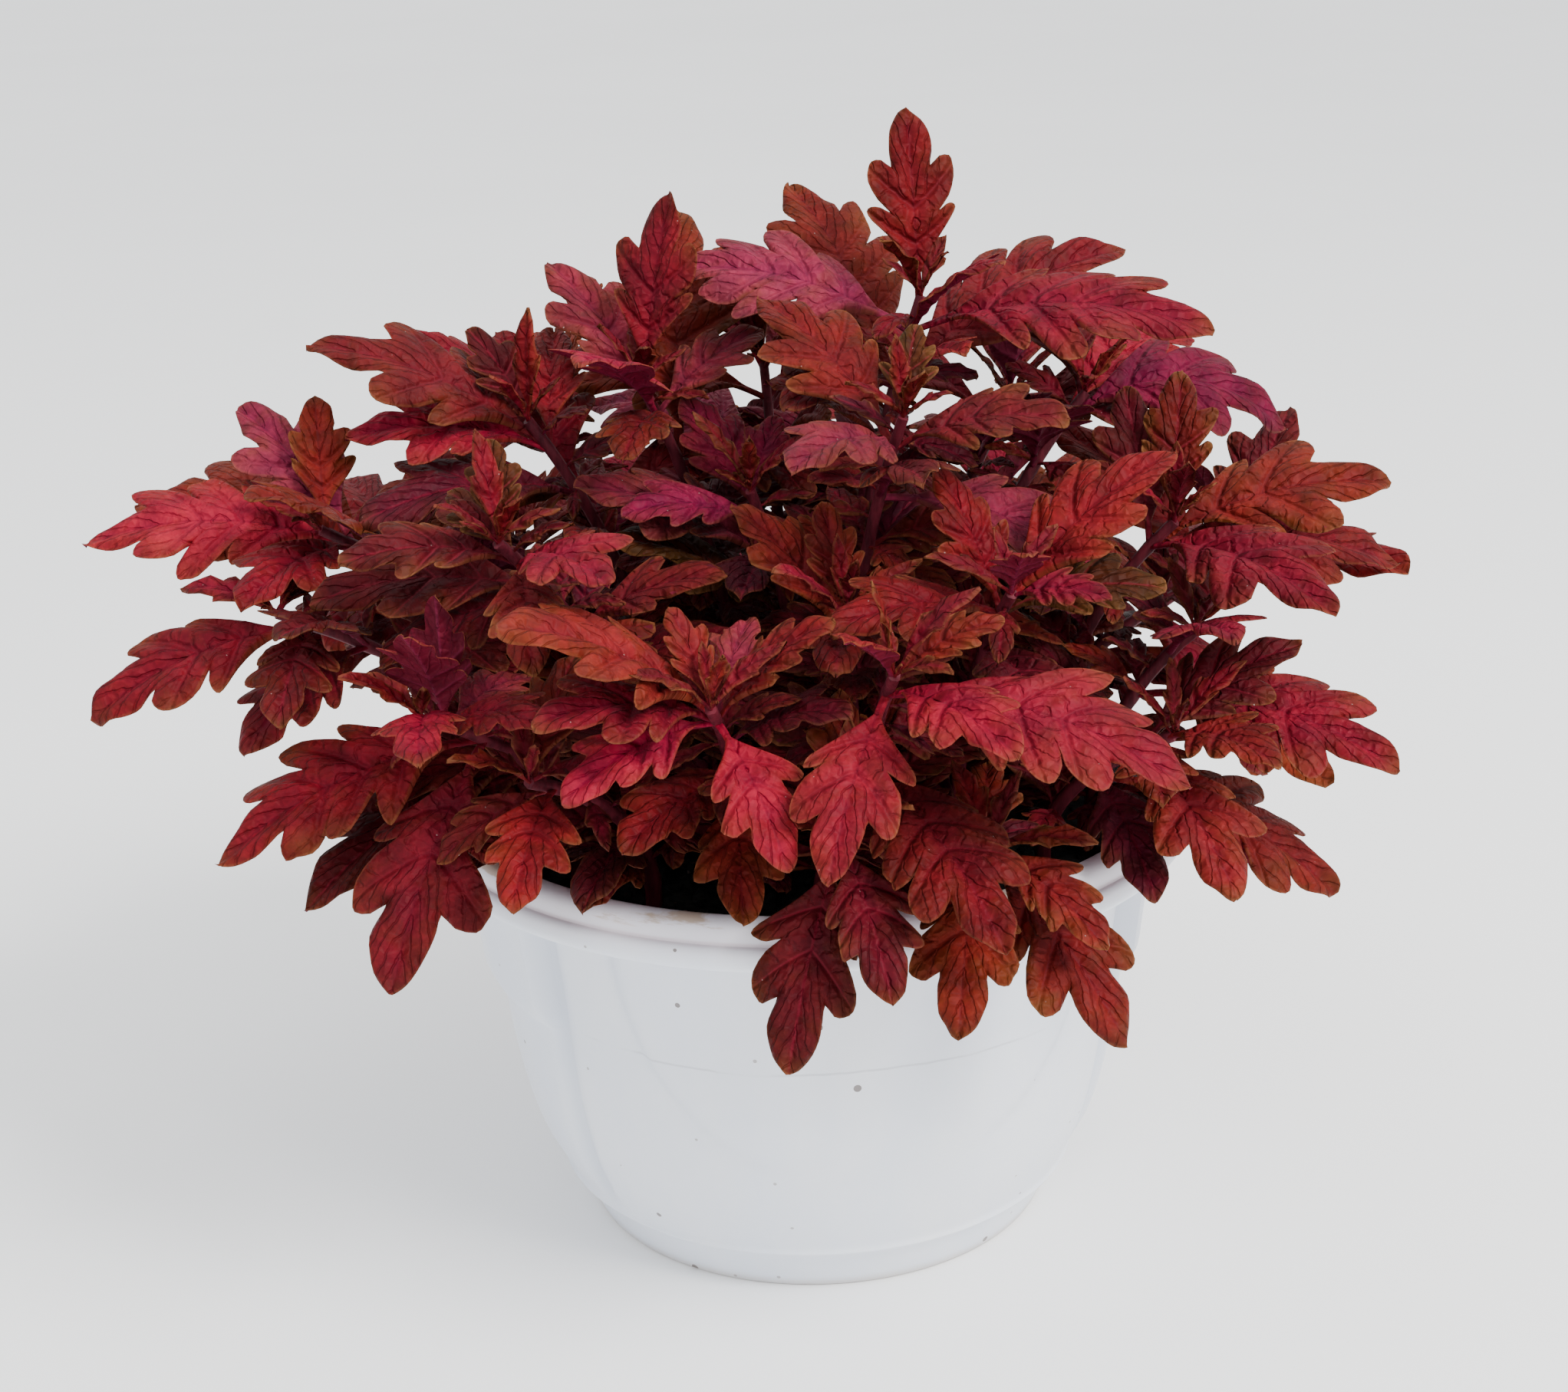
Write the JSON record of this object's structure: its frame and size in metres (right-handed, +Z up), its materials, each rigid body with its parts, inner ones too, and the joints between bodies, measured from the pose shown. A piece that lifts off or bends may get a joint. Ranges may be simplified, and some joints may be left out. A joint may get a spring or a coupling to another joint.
{
  "type": "coleus plant in a pot",
  "caption": "Bushy coleus with lobed copper-red leaves, growing in a round white plastic bowl pot with a rolled rim.",
  "frame": {"origin": "centre of the pot's flat underside, on the surface that it stands on", "axes": "+Z up along the pot's axis, -Y towards the front that the picture shows, +X to its right"},
  "size_m": [0.4152, 0.3613, 0.3562],
  "materials": {
    "pot_plastic": "smooth moulded white plastic, slightly scuffed on the rim",
    "potting_soil": null,
    "leaf": null
  },
  "bodies": {
    "root": {"pot": "pot_plastic", "soil": "potting_soil", "shoot_back_far_left": "leaf", "shoot_back_far_right": "leaf", "shoot_back_left": "leaf", "shoot_back_mid": "leaf", "shoot_back_right": "leaf", "shoot_back_upper_left": "leaf", "shoot_centre": "leaf", "shoot_centre_back": "leaf", "shoot_far_left": "leaf", "shoot_far_right": "leaf", "shoot_front": "leaf", "shoot_front_left": "leaf", "shoot_left": "leaf", "shoot_left_mid": "leaf", "shoot_low_left": "leaf", "shoot_low_right": "leaf", "shoot_rear_left": "leaf", "shoot_rear_low_left": "leaf", "shoot_rear_low_right": "leaf", "shoot_rear_mid": "leaf", "shoot_rear_right": "leaf", "shoot_right": "leaf", "shoot_right_centre": "leaf", "shoot_rim_front": "leaf", "shoot_rim_left": "leaf", "shoot_rim_right": "leaf", "shoot_second": "leaf", "shoot_top": "leaf", "shoot_top_right": "leaf", "shoot_upper_left": "leaf"}
  },
  "joints": []
}
